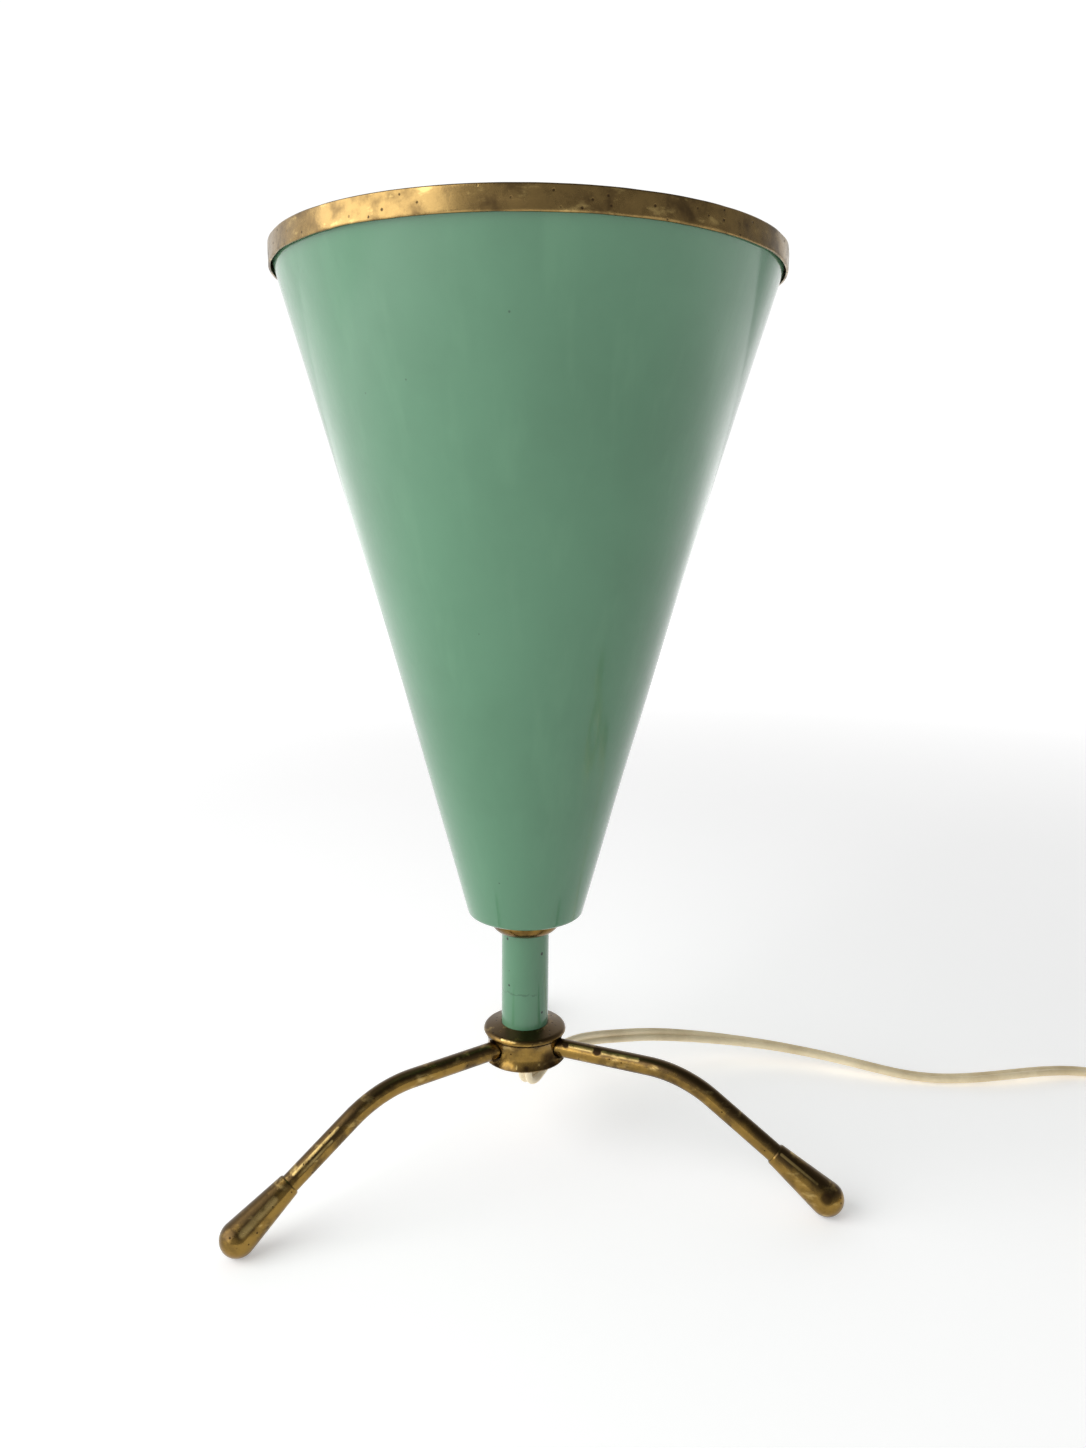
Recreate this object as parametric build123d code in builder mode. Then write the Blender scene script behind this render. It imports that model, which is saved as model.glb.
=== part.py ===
"""Small tripod uplighter: a conical lacquered shade on a short stem, a brass hub and three bent brass legs.

Millimetres, +Z up. The origin is on the stem's axis, level with the surface that the feet stand on.
"""

from build123d import *
import math
import os

# Heights of the stack above the floor
HUB_FOOT_H = 41.8
HUB_NECK_H = 52.9
LEG_H = 48.0
STEM_FOOT_H = 56.7
HUB_CAP_H = 57.4
STEM_HEAD_H = 99.6
SHADE_FOOT_H = 108.0
SHADE_MOUTH_H = 368.5
BAND_FOOT_H = 364.8
BAND_HEAD_H = 373.1

# Shade, band and collar
SHADE_FOOT_R = 24.4
SHADE_MOUTH_R = 97.3
SHADE_HOLLOW = 1.1
SHADE_WALL = 0.8
SHADE_FOOT_ROUND = 2.2
BAND_R = 98.3
BAND_WALL = 0.8
BAND_WIDTH = 4.4
BAND_LIP_H = 369.4
COLLAR_R = 15.2
COLLAR_FOOT_R = 10.6
COLLAR_SIDE_H = 104.2

# Stem, threaded pipe and hub
STEM_R = 10.2
STEM_WALL = 1.0
PIPE_R = 5.0
PIPE_BORE_R = 4.0
PIPE_FOOT_H = 40.3
PIPE_HEAD_H = 121.0
PIPE_HOLE_R = 5.15
HUB_R = 17.3
HUB_LIP_R = 17.95
HUB_FOOT_R = 18.2
HUB_WAIST = 1.6
HUB_RECESS_R = 9.4
HUB_RECESS = 2.5
NUT_FLATS = 15.0
NUT_THICK = 3.0
WASHER_THICK = 1.0

# Legs and feet
LEG_AZIMUTHS = {"left": -150.0, "right": -30.0, "rear": 86.5}
ROD_R = 3.9
ROD_SHOULDER = 12.0
SPIGOT_R = 2.5
SPIGOT_END = 6.8
SOCKET_R = 4.7
BEND_START = 57.0
BEND_R = 50.0
LEG_SLOPE = 34.0
FOOT_BALL_R = 7.0
FOOT_NECK_R = 4.6
FOOT_LENGTH = 25.9
FOOT_HOLE = 10.0

# Lampholder, E27
HOLDER_FOOT_H = 114.6
HOLDER_CAP_R = 18.5
HOLDER_JOINT_H = 130.5
CORE_H = 137.0
CORE_R = 16.8
HOLDER_R = 20.0
HOLDER_HEAD_H = 165.0
THREAD_PITCH = 3.6
THREAD_DEPTH = 0.7
SLEEVE_R = 13.4
TERMINAL_OFFSET = 9.0

# Bulb
BULB_TIP_H = 139.9
BULB_CAP_FOOT_H = 142.2
BULB_CAP_HEAD_H = 165.8
BULB_CAP_R = 13.1
BULB_R = 30.0
BULB_CENTRE_H = 214.0
BULB_NECK_R = 11.9
GLASS_WALL = 0.6
FILAMENT_H = 210.0

# Flex: flat twin, drawn in its free run as a round tube of the same section area
FLEX_WIDTH = 6.4
FLEX_THICKNESS = 3.2
FLEX_R = FLEX_THICKNESS / math.sqrt(2)
CORE_WIRE_R = 1.2
FLEX_EXIT_H = 38.8
FLOOR_Z = FLEX_R

# In-line switch, plug and coil on the floor
SWITCH_X = 315.0
SWITCH_Y = -52.0
SWITCH_LENGTH = 60.0
SWITCH_WIDTH = 22.0
SWITCH_PARTING = 7.5
SWITCH_H = 15.5
SWITCH_WALL = 1.6
ROCKER_PIVOT_H = 12.3
ROCKER_TILT = 12.0
ROCKER_WIDTH = 11.0
ROCKER_HALF = 9.2
COIL_X = 275.0
COIL_Y = -128.0
COIL_R = 35.0
COIL_RING = 15.0
COIL_H = 14.0
PLUG_X = 315.0
PLUG_ENTRY_Y = -170.0
PLUG_LENGTH = 36.0
PLUG_WIDTH = 34.0
PLUG_H = 16.0
PLUG_SCREW_Y = -22.0
PIN_R = 2.0
PIN_LENGTH = 19.0
PIN_SPACING = 19.0
PIN_SHANK_R = 2.4
PIN_SHANK = 14.0

# The flex from the hub to the switch: out of the hub's foot, a tight turn to the back right,
# round behind the hub, down to the floor and along it.
RUN_POINTS = [
    (0.0, 0.0, FLEX_EXIT_H),
    (0.0, 0.0, 34.0),
    (0.8, 0.9, 28.6),
    (3.9, 5.4, 25.8),
    (9.5, 14.1, 27.6),
    (17.2, 24.8, 28.4),
    (26.5, 36.2, 27.2),
    (37.9, 44.3, 24.8),
    (52.5, 50.6, 22.0),
    (70.2, 55.9, 19.4),
    (90.8, 59.4, 15.6),
    (112.0, 60.2, 12.0),
    (132.8, 57.3, 9.4),
    (151.2, 51.2, 7.6),
    (167.5, 43.6, 6.2),
    (181.9, 36.5, 4.6),
    (195.4, 31.3, 3.0),
    (210.1, 27.7, FLOOR_Z),
    (226.9, 25.2, 3.1),
    (244.8, 24.6, 4.2),
    (262.9, 26.2, 4.2),
    (280.1, 27.4, 3.1),
    (294.5, 24.2, FLOOR_Z),
    (305.2, 14.4, FLOOR_Z),
    (311.8, 1.2, 3.6),
    (314.6, -12.2, 6.6),
    (SWITCH_X, SWITCH_Y + SWITCH_LENGTH / 2 - 3.0, SWITCH_PARTING),
]

# From the switch into the coil's outer turn
LINK_POINTS = [
    (SWITCH_X, SWITCH_Y - SWITCH_LENGTH / 2 + 3.0, SWITCH_PARTING),
    (314.8, -90.0, 6.3),
    (314.2, -102.0, 4.4),
    (313.4, -113.0, 4.0),
    (313.0, -122.0, 4.4),
]

# From the coil's top turn to the plug
TAIL_POINTS = [
    (313.0, -132.0, 10.2),
    (313.3, -143.0, 9.9),
    (314.3, -156.0, 8.8),
    (PLUG_X, PLUG_ENTRY_Y - 2.0, PLUG_H / 2),
]

os.makedirs("parts", exist_ok=True)


def save(piece, name):
    """Label a finished piece and write it as the node of that name."""
    piece.part.label = name
    export_step(piece.part, f"parts/{name}.step")


def corner_radii(points):
    """The largest arc that each corner's shorter run leaves room for."""
    vectors = [Vector(*point) for point in points]
    radii = []
    for before, here, after in zip(vectors, vectors[1:], vectors[2:]):
        shorter = min((here - before).length, (after - here).length)
        turn = (here - before).get_angle(after - here)
        radii.append(0.45 * shorter / math.tan(math.radians(turn / 2)))
    return radii


def wavy_side(radius, foot, head, depth, pitch):
    """Corner points of a rolled thread's outline, drawn as rings."""
    count = int((head - foot) / pitch)
    points = []
    for turn in range(count):
        start = foot + turn * pitch
        points.append((radius - depth, start))
        points.append((radius, start + pitch / 2))
    points.append((radius - depth, foot + count * pitch))
    return points


# --- Shade -----------------------------------------------------------------------------------

with BuildPart() as shade_cone:
    with BuildSketch(Plane.XZ):
        with BuildLine():
            Polyline((SHADE_MOUTH_R, SHADE_MOUTH_H), (0, SHADE_MOUTH_H), (0, SHADE_FOOT_H))
            Line((0, SHADE_FOOT_H), (SHADE_FOOT_R, SHADE_FOOT_H))
            SagittaArc((SHADE_FOOT_R, SHADE_FOOT_H), (SHADE_MOUTH_R, SHADE_MOUTH_H), SHADE_HOLLOW)
        make_face()
    revolve(axis=Axis.Z)
    fillet(shade_cone.edges().sort_by(Axis.Z)[0], SHADE_FOOT_ROUND)
    offset(amount=-SHADE_WALL, openings=shade_cone.faces().sort_by(Axis.Z)[-1])
    with Locations((0, 0, SHADE_FOOT_H + SHADE_WALL)):
        Hole(PIPE_HOLE_R, depth=2 * SHADE_WALL)
save(shade_cone, "shade_cone")

# A U-shaped channel hooked over the cone's edge
band_inner_r = BAND_R - BAND_WIDTH
with BuildPart() as shade_rim_band:
    with BuildSketch(Plane.XZ):
        with BuildLine():
            Polyline(
                (BAND_R - BAND_WALL, BAND_FOOT_H),
                (BAND_R, BAND_FOOT_H),
                (BAND_R, BAND_HEAD_H),
                (band_inner_r, BAND_HEAD_H),
                (band_inner_r, BAND_LIP_H),
                (band_inner_r + BAND_WALL, BAND_LIP_H),
                (band_inner_r + BAND_WALL, BAND_HEAD_H - BAND_WALL),
                (BAND_R - BAND_WALL, BAND_HEAD_H - BAND_WALL),
                close=True,
            )
        make_face()
    revolve(axis=Axis.Z)
    top_edges = shade_rim_band.edges().group_by(Axis.Z)[-1]
    fillet(top_edges, BAND_WALL * 0.9)
save(shade_rim_band, "shade_rim_band")

with BuildPart() as shade_collar:
    with BuildSketch(Plane.XZ):
        with BuildLine():
            Polyline(
                (COLLAR_FOOT_R, STEM_HEAD_H),
                (PIPE_HOLE_R, STEM_HEAD_H),
                (PIPE_HOLE_R, SHADE_FOOT_H),
                (COLLAR_R, SHADE_FOOT_H),
                (COLLAR_R, COLLAR_SIDE_H),
            )
            RadiusArc((COLLAR_R, COLLAR_SIDE_H), (COLLAR_FOOT_R, STEM_HEAD_H), 6.5)
        make_face()
    revolve(axis=Axis.Z)
save(shade_collar, "shade_collar")


def washer(foot, inner, outer, thickness):
    """A plain flat washer round the pipe."""
    with BuildPart() as disc:
        with BuildSketch(Plane.XY.offset(foot)):
            Circle(outer)
            Circle(inner, mode=Mode.SUBTRACT)
        extrude(amount=thickness)
        chamfer(disc.edges().filter_by(GeomType.CIRCLE).sort_by(SortBy.RADIUS)[-2:], 0.2)
    return disc


def pipe_nut(foot):
    """A thin hexagon nut on the pipe."""
    with BuildPart() as nut:
        with BuildSketch(Plane.XY.offset(foot)):
            RegularPolygon(NUT_FLATS / 2, 6, major_radius=False)
            Circle(PIPE_HOLE_R, mode=Mode.SUBTRACT)
        extrude(amount=NUT_THICK)
        chamfer(nut.faces().sort_by(Axis.Z)[-1].outer_wire().edges(), 0.4)
    return nut


shade_floor_h = SHADE_FOOT_H + SHADE_WALL
save(washer(shade_floor_h, PIPE_HOLE_R, 14.0, WASHER_THICK), "shade_washer")
save(pipe_nut(shade_floor_h + WASHER_THICK), "shade_nut")

# --- Stem and pipe ---------------------------------------------------------------------------

with BuildPart() as stem_tube:
    with BuildSketch(Plane.XY.offset(STEM_FOOT_H)):
        Circle(STEM_R)
        Circle(STEM_R - STEM_WALL, mode=Mode.SUBTRACT)
    extrude(amount=STEM_HEAD_H - STEM_FOOT_H)
save(stem_tube, "stem_tube")

with BuildPart() as lamp_pipe:
    with BuildSketch(Plane.XY.offset(PIPE_FOOT_H)):
        Circle(PIPE_R)
        Circle(PIPE_BORE_R, mode=Mode.SUBTRACT)
    extrude(amount=PIPE_HEAD_H - PIPE_FOOT_H)
save(lamp_pipe, "lamp_pipe")

# --- Hub -------------------------------------------------------------------------------------

recess_h = HUB_FOOT_H + HUB_RECESS
with BuildPart() as hub_body:
    with BuildSketch(Plane.XZ):
        with BuildLine():
            Polyline(
                (HUB_R, HUB_NECK_H),
                (PIPE_HOLE_R, HUB_NECK_H),
                (PIPE_HOLE_R, recess_h),
                (HUB_RECESS_R, recess_h),
                (HUB_RECESS_R, HUB_FOOT_H),
                (HUB_FOOT_R - 0.4, HUB_FOOT_H),
                (HUB_FOOT_R, HUB_FOOT_H + 0.6),
            )
            SagittaArc((HUB_FOOT_R, HUB_FOOT_H + 0.6), (HUB_R, HUB_NECK_H), HUB_WAIST)
        make_face()
    revolve(axis=Axis.Z)
    for azimuth in LEG_AZIMUTHS.values():
        outward = (math.cos(math.radians(azimuth)), math.sin(math.radians(azimuth)), 0)
        rim_point = (outward[0] * HUB_FOOT_R, outward[1] * HUB_FOOT_R, LEG_H)
        with Locations(Plane(origin=rim_point, z_dir=outward)):
            CounterBoreHole(
                radius=SPIGOT_R + 0.1,
                counter_bore_radius=SOCKET_R,
                counter_bore_depth=HUB_FOOT_R - ROD_SHOULDER,
                depth=HUB_FOOT_R - SPIGOT_END + 0.2,
            )
save(hub_body, "hub_body")

with BuildPart() as hub_cap:
    with BuildSketch(Plane.XZ):
        with BuildLine():
            Polyline(
                (HUB_R + 0.1, HUB_NECK_H + 0.5),
                (HUB_R - 0.8, HUB_NECK_H + 0.5),
                (HUB_R - 0.8, HUB_NECK_H),
                (PIPE_HOLE_R, HUB_NECK_H),
                (PIPE_HOLE_R, STEM_FOOT_H),
                (STEM_R + 0.15, STEM_FOOT_H),
                (STEM_R + 0.15, HUB_CAP_H),
                (HUB_LIP_R - 1.6, HUB_CAP_H - 1.4),
            )
            rim = TangentArc(
                (HUB_LIP_R - 1.6, HUB_CAP_H - 1.4),
                (HUB_LIP_R, HUB_NECK_H + 1.3),
                tangent=(1, -0.22),
            )
            TangentArc(rim @ 1, (HUB_R + 0.1, HUB_NECK_H + 0.5), tangent=rim % 1)
        make_face()
    revolve(axis=Axis.Z)
save(hub_cap, "hub_cap")

save(washer(recess_h - WASHER_THICK, PIPE_HOLE_R, 9.0, WASHER_THICK), "hub_washer")
save(pipe_nut(recess_h - WASHER_THICK - NUT_THICK), "hub_nut")

# The bush that keeps the pipe's edge off the flex
with BuildPart() as cord_bush:
    with BuildSketch(Plane.XY.offset(FLEX_EXIT_H)):
        Circle(6.4)
    extrude(amount=PIPE_FOOT_H - FLEX_EXIT_H)
    fillet(cord_bush.edges().sort_by(Axis.Z)[0], 0.8)
    with BuildSketch(Plane.XY.offset(PIPE_FOOT_H)):
        Circle(PIPE_BORE_R - 0.1)
    extrude(amount=6.0)
    with BuildSketch(Plane.XY.offset(FLEX_EXIT_H)):
        Circle(PIPE_BORE_R - 0.6)
    extrude(amount=PIPE_FOOT_H - FLEX_EXIT_H + 6.0, mode=Mode.SUBTRACT)
save(cord_bush, "cord_bush")

# --- Legs and feet ---------------------------------------------------------------------------

slope = math.radians(LEG_SLOPE)
bend_end_r = BEND_START + BEND_R * math.sin(slope)
bend_end_h = LEG_H - BEND_R * (1 - math.cos(slope))
foot_r = bend_end_r + (bend_end_h - FOOT_BALL_R) / math.tan(slope)
straight = math.hypot(foot_r - bend_end_r, bend_end_h - FOOT_BALL_R) - FOOT_LENGTH


def leg_plane(azimuth):
    """The upright plane of one leg: local x runs outward, local y runs up."""
    angle = math.radians(azimuth)
    return Plane(
        origin=(0, 0, 0),
        x_dir=(math.cos(angle), math.sin(angle), 0),
        z_dir=(math.sin(angle), -math.cos(angle), 0),
    )


def leg_rod(azimuth):
    """A round rod, level out of the hub, bent down to its foot, with a spigot at each end."""
    plane = leg_plane(azimuth)
    outward = plane.x_dir
    with BuildPart() as rod:
        with BuildLine(plane) as centre:
            level = Line((ROD_SHOULDER, LEG_H), (BEND_START, LEG_H))
            bend = JernArc(level @ 1, (1, 0), BEND_R, -LEG_SLOPE)
            PolarLine(bend @ 1, straight, -LEG_SLOPE)
        with BuildSketch(Plane(origin=centre.line @ 0, z_dir=centre.line % 0)):
            Circle(ROD_R)
        sweep(path=centre.wires()[0])
        with BuildSketch(Plane(origin=centre.line @ 0, z_dir=-outward)):
            Circle(SPIGOT_R)
        extrude(amount=ROD_SHOULDER - SPIGOT_END)
        with BuildSketch(Plane(origin=centre.line @ 1, z_dir=centre.line % 1)):
            Circle(SPIGOT_R)
        extrude(amount=FOOT_HOLE - 1.0)
    return rod


def leg_foot(azimuth):
    """A turned teardrop: a ball on the floor and a taper up to the rod."""
    upright = leg_plane(azimuth)
    ball = upright.from_local_coords(Vector(foot_r, FOOT_BALL_R, 0))
    toward_hub = upright.x_dir * -math.cos(slope) + Vector(0, 0, math.sin(slope))
    across = upright.x_dir * math.sin(slope) + Vector(0, 0, math.cos(slope))
    turning = Plane(origin=ball, x_dir=across, z_dir=across.cross(toward_hub))
    neck = FOOT_LENGTH - 0.5
    reach = math.hypot(FOOT_NECK_R, neck)
    tangent = math.atan2(neck, FOOT_NECK_R) - math.acos(FOOT_BALL_R / reach)
    touch = (FOOT_BALL_R * math.cos(tangent), FOOT_BALL_R * math.sin(tangent))
    with BuildPart() as foot:
        with BuildSketch(turning):
            with BuildLine():
                ThreePointArc(
                    (0, -FOOT_BALL_R),
                    (FOOT_BALL_R * math.cos(math.pi / 4), -FOOT_BALL_R * math.sin(math.pi / 4)),
                    touch,
                )
                Polyline(
                    touch,
                    (FOOT_NECK_R, neck),
                    (FOOT_NECK_R - 0.3, FOOT_LENGTH),
                    (SPIGOT_R + 0.1, FOOT_LENGTH),
                    (SPIGOT_R + 0.1, FOOT_LENGTH - FOOT_HOLE),
                    (0, FOOT_LENGTH - FOOT_HOLE),
                    (0, -FOOT_BALL_R),
                )
            make_face()
        revolve(axis=Axis(ball, toward_hub))
    return foot


with BuildPart() as leg_lock_rings:
    for azimuth in LEG_AZIMUTHS.values():
        outward = leg_plane(azimuth).x_dir
        with BuildSketch(Plane(origin=outward * (ROD_SHOULDER + 0.1) + Vector(0, 0, LEG_H), z_dir=outward)):
            Circle(SOCKET_R - 0.1)
            Circle(ROD_R + 0.1, mode=Mode.SUBTRACT)
        extrude(amount=2.6)
save(leg_lock_rings, "leg_lock_rings")

for side, azimuth in LEG_AZIMUTHS.items():
    save(leg_rod(azimuth), f"leg_rod_{side}")
    save(leg_foot(azimuth), f"foot_{side}")

# --- Lampholder ------------------------------------------------------------------------------

with BuildPart() as holder_cap:
    with BuildSketch(Plane.XZ):
        with BuildLine():
            Polyline(
                (8.2, HOLDER_FOOT_H + 4.0),
                (8.2, HOLDER_FOOT_H),
                (PIPE_HOLE_R, HOLDER_FOOT_H),
                (PIPE_HOLE_R, PIPE_HEAD_H),
                (8.6, PIPE_HEAD_H),
            )
            RadiusArc((8.6, PIPE_HEAD_H), (HOLDER_CAP_R - 1.5, 128.4), -12.0)
            Polyline(
                (HOLDER_CAP_R - 1.5, 128.4),
                (HOLDER_CAP_R - 1.5, 134.0),
                (HOLDER_CAP_R, 134.0),
                (HOLDER_CAP_R, 127.6),
            )
            RadiusArc((HOLDER_CAP_R, 127.6), (8.2, HOLDER_FOOT_H + 4.0), 14.0)
        make_face()
    revolve(axis=Axis.Z)
save(holder_cap, "holder_cap")

with BuildPart() as holder_core:
    with BuildSketch(Plane.XY.offset(HOLDER_JOINT_H)):
        Circle(CORE_R)
        with Locations((-TERMINAL_OFFSET, 0), (TERMINAL_OFFSET, 0)):
            Circle(1.8, mode=Mode.SUBTRACT)
        with Locations((0, -TERMINAL_OFFSET), (0, TERMINAL_OFFSET)):
            Circle(2.6, mode=Mode.SUBTRACT)
    extrude(amount=CORE_H - HOLDER_JOINT_H)
    chamfer(holder_core.faces().sort_by(Axis.Z)[-1].outer_wire().edges(), 0.6)
save(holder_core, "holder_core")

with BuildPart() as terminal_screws:
    for side in (-1, 1):
        with BuildSketch(Plane.XY.offset(HOLDER_JOINT_H - 1.6)):
            with Locations((side * TERMINAL_OFFSET, 0)):
                Circle(2.7)
        extrude(amount=1.6)
        with BuildSketch(Plane.XY.offset(HOLDER_JOINT_H)):
            with Locations((side * TERMINAL_OFFSET, 0)):
                Circle(1.6)
        extrude(amount=CORE_H - HOLDER_JOINT_H)
save(terminal_screws, "holder_terminal_screws")

with BuildPart() as holder_shell:
    with BuildSketch(Plane.XZ):
        with BuildLine():
            Polyline(
                (HOLDER_CAP_R + 0.1, HOLDER_JOINT_H - 1.5),
                (HOLDER_R, HOLDER_JOINT_H - 1.5),
                (HOLDER_R, HOLDER_HEAD_H),
                (HOLDER_R - 5.0, HOLDER_HEAD_H),
                (HOLDER_R - 5.0, HOLDER_HEAD_H - 1.4),
                (HOLDER_CAP_R + 0.1, HOLDER_HEAD_H - 1.4),
                close=True,
            )
        make_face()
    revolve(axis=Axis.Z)
    head_edges = holder_shell.edges().filter_by(GeomType.CIRCLE).group_by(Axis.Z)[-1]
    fillet(head_edges.sort_by(SortBy.RADIUS)[-1], 1.3)
    for groove in range(4):
        with BuildSketch(Plane.XY.offset(HOLDER_JOINT_H + 2.0 + 2.2 * groove)):
            Circle(HOLDER_R + 1.0)
            Circle(HOLDER_R - 0.5, mode=Mode.SUBTRACT)
        extrude(amount=0.9, mode=Mode.SUBTRACT)
save(holder_shell, "holder_shell")

with BuildPart() as thread_sleeve:
    with BuildSketch(Plane.XZ):
        inner = wavy_side(SLEEVE_R + THREAD_DEPTH, CORE_H + 1.2, 161.0, THREAD_DEPTH, THREAD_PITCH)
        outer = [(radius + 0.5, height) for radius, height in inner]
        with BuildLine():
            Polyline(
                *inner,
                *outer[::-1],
                (SLEEVE_R + 0.5, CORE_H + 0.5),
                (16.2, CORE_H + 0.5),
                (16.2, CORE_H),
                (SLEEVE_R, CORE_H),
                close=True,
            )
        make_face()
    revolve(axis=Axis.Z)
save(thread_sleeve, "holder_thread_sleeve")

with BuildPart() as contact_tongue:
    with BuildSketch(Plane.XZ.offset(-2.5)):
        with BuildLine():
            Polyline(
                (-11.0, CORE_H),
                (-11.0, CORE_H + 0.5),
                (-6.5, CORE_H + 0.5),
                (-1.5, BULB_TIP_H - 0.3),
                (3.0, BULB_TIP_H - 0.3),
                (3.0, BULB_TIP_H - 0.8),
                (-1.2, BULB_TIP_H - 0.8),
                (-6.2, CORE_H),
                close=True,
            )
        make_face()
    extrude(amount=5.0)
save(contact_tongue, "holder_contact_tongue")

# --- Bulb ------------------------------------------------------------------------------------

with BuildPart() as bulb_cap:
    with BuildSketch(Plane.XZ):
        outer = wavy_side(BULB_CAP_R, BULB_CAP_FOOT_H, 160.3, THREAD_DEPTH, THREAD_PITCH)
        inner = [(radius - 0.35, height) for radius, height in outer]
        with BuildLine():
            Polyline(
                *outer,
                (BULB_CAP_R, BULB_CAP_HEAD_H - 4.5),
                (BULB_CAP_R, BULB_CAP_HEAD_H),
                (BULB_CAP_R - 0.35, BULB_CAP_HEAD_H),
                *inner[::-1],
                close=True,
            )
        make_face()
    revolve(axis=Axis.Z)
save(bulb_cap, "bulb_cap")

with BuildPart() as bulb_insulator:
    with BuildSketch(Plane.XZ):
        with BuildLine():
            Polyline(
                (0, BULB_TIP_H + 0.8),
                (5.0, BULB_TIP_H + 0.8),
                (11.8, BULB_CAP_FOOT_H),
                (11.8, BULB_CAP_FOOT_H + 1.2),
                (0, BULB_CAP_FOOT_H + 1.2),
                close=True,
            )
        make_face()
    revolve(axis=Axis.Z)
save(bulb_insulator, "bulb_insulator")

with BuildPart() as bulb_contact:
    with BuildSketch(Plane.XY.offset(BULB_TIP_H)):
        Circle(4.6)
    extrude(amount=0.8)
    fillet(bulb_contact.edges().sort_by(Axis.Z)[0], 0.5)
save(bulb_contact, "bulb_contact")

# The envelope's ball and neck are tangent arcs, outside and inside
shoulder = math.radians(-36.0)


def envelope_side(ball_r, neck_r, foot_h):
    """The right-hand outline of the envelope, from the neck's foot to the crown."""
    shoulder_at = (ball_r * math.cos(shoulder), BULB_CENTRE_H + ball_r * math.sin(shoulder))
    ball = CenterArc((0, BULB_CENTRE_H), ball_r, -36.0, 126.0)
    flare = TangentArc(shoulder_at, (neck_r, 172.0), tangent=(math.sin(shoulder), -math.cos(shoulder)))
    return ball, flare, Line((neck_r, 172.0), (neck_r, foot_h))


with BuildPart() as bulb_glass:
    with BuildSketch(Plane.XZ):
        with BuildLine():
            envelope_side(BULB_R, BULB_NECK_R, 160.0)
            Line((BULB_NECK_R, 160.0), (0, 160.0))
            Line((0, 160.0), (0, BULB_CENTRE_H + BULB_R))
        make_face()
    revolve(axis=Axis.Z)
    with BuildSketch(Plane.XZ):
        with BuildLine():
            envelope_side(BULB_R - GLASS_WALL, BULB_NECK_R - GLASS_WALL, 160.0)
            Line((BULB_NECK_R - GLASS_WALL, 160.0), (0, 160.0))
            Line((0, 160.0), (0, BULB_CENTRE_H + BULB_R - GLASS_WALL))
        make_face()
    revolve(axis=Axis.Z, mode=Mode.SUBTRACT)
save(bulb_glass, "bulb_glass")

with BuildPart() as bulb_mount:
    with BuildSketch(Plane.XZ):
        with BuildLine():
            Polyline(
                (0, 160.5),
                (10.9, 160.5),
                (10.9, 161.5),
                (4.2, 168.0),
                (2.6, 180.0),
                (3.4, 190.0),
                (1.2, 192.0),
                (1.2, 200.0),
                (0, 201.0),
                close=True,
            )
        make_face()
    revolve(axis=Axis.Z)
save(bulb_mount, "bulb_mount")

with BuildPart() as bulb_leads:
    for side in (-1, 1):
        with BuildLine() as lead:
            FilletPolyline(
                (side * 2.4, 0, 191.2),
                (side * 2.4, 0, 194.4),
                (side * 12.0, 0, FILAMENT_H),
                radius=2.0,
            )
        with BuildSketch(Plane(origin=lead.line @ 0, z_dir=lead.line % 0)):
            Circle(0.35)
        sweep(path=lead.wires()[0])
save(bulb_leads, "bulb_leads")

with BuildPart() as bulb_filament:
    with BuildLine() as coil_line:
        ThreePointArc((-12.4, 0, FILAMENT_H + 0.4), (0, 4.0, FILAMENT_H + 2.6), (12.4, 0, FILAMENT_H + 0.4))
    with BuildSketch(Plane(origin=coil_line.line @ 0, z_dir=coil_line.line % 0)):
        Circle(0.45)
    sweep(path=coil_line.wires()[0])
save(bulb_filament, "bulb_filament")

# --- Wiring inside the stem ------------------------------------------------------------------

inner_flex_head_h = 117.0
with BuildPart() as inner_flex:
    with BuildSketch(Plane.XY.offset(FLEX_EXIT_H)):
        Circle(FLEX_R)
    extrude(amount=inner_flex_head_h - FLEX_EXIT_H)
save(inner_flex, "inner_flex")

with BuildPart() as holder_cores:
    for side in (-1, 1):
        with BuildLine() as core:
            FilletPolyline(
                (side * 1.25, 0, inner_flex_head_h),
                (side * 1.25, 0, 121.0),
                (side * 3.2, 0, 124.5),
                (side * 6.8, 0, 126.6),
                (side * 8.2, 0, 127.5),
                radius=1.6,
            )
        with BuildSketch(Plane(origin=core.line @ 0, z_dir=core.line % 0)):
            Circle(CORE_WIRE_R)
        sweep(path=core.wires()[0])
save(holder_cores, "holder_cores")

# --- Flex in the room ------------------------------------------------------------------------


def flex_tube(points, name):
    """A tube of straight runs and tangent arcs along the points; prints its radii and volume."""
    radii = corner_radii(points)
    with BuildPart() as tube:
        with BuildLine() as route:
            FilletPolyline(*points, radius=radii)
        with BuildSketch(Plane(origin=route.line @ 0, z_dir=route.line % 0)):
            Circle(FLEX_R)
        sweep(path=route.wires()[0])
    length = route.wires()[0].length
    ideal = math.pi * FLEX_R**2 * length
    print(name, "radii", [round(radius, 1) for radius in radii])
    print(name, "length", round(length, 1), "volume ratio", round(tube.part.volume / ideal, 4))
    save(tube, name)


flex_tube(RUN_POINTS, "cord_run")
flex_tube(LINK_POINTS, "cord_link")
flex_tube(TAIL_POINTS, "cord_tail")

with BuildPart() as cord_coil:
    with BuildSketch(Plane.XY):
        with Locations((COIL_X, COIL_Y)):
            Circle(COIL_R + COIL_RING / 2)
            Circle(COIL_R - COIL_RING / 2, mode=Mode.SUBTRACT)
    extrude(amount=COIL_H)
    fillet(cord_coil.edges().filter_by(GeomType.CIRCLE), 3.0)
save(cord_coil, "cord_coil")

# --- In-line switch --------------------------------------------------------------------------

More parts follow.
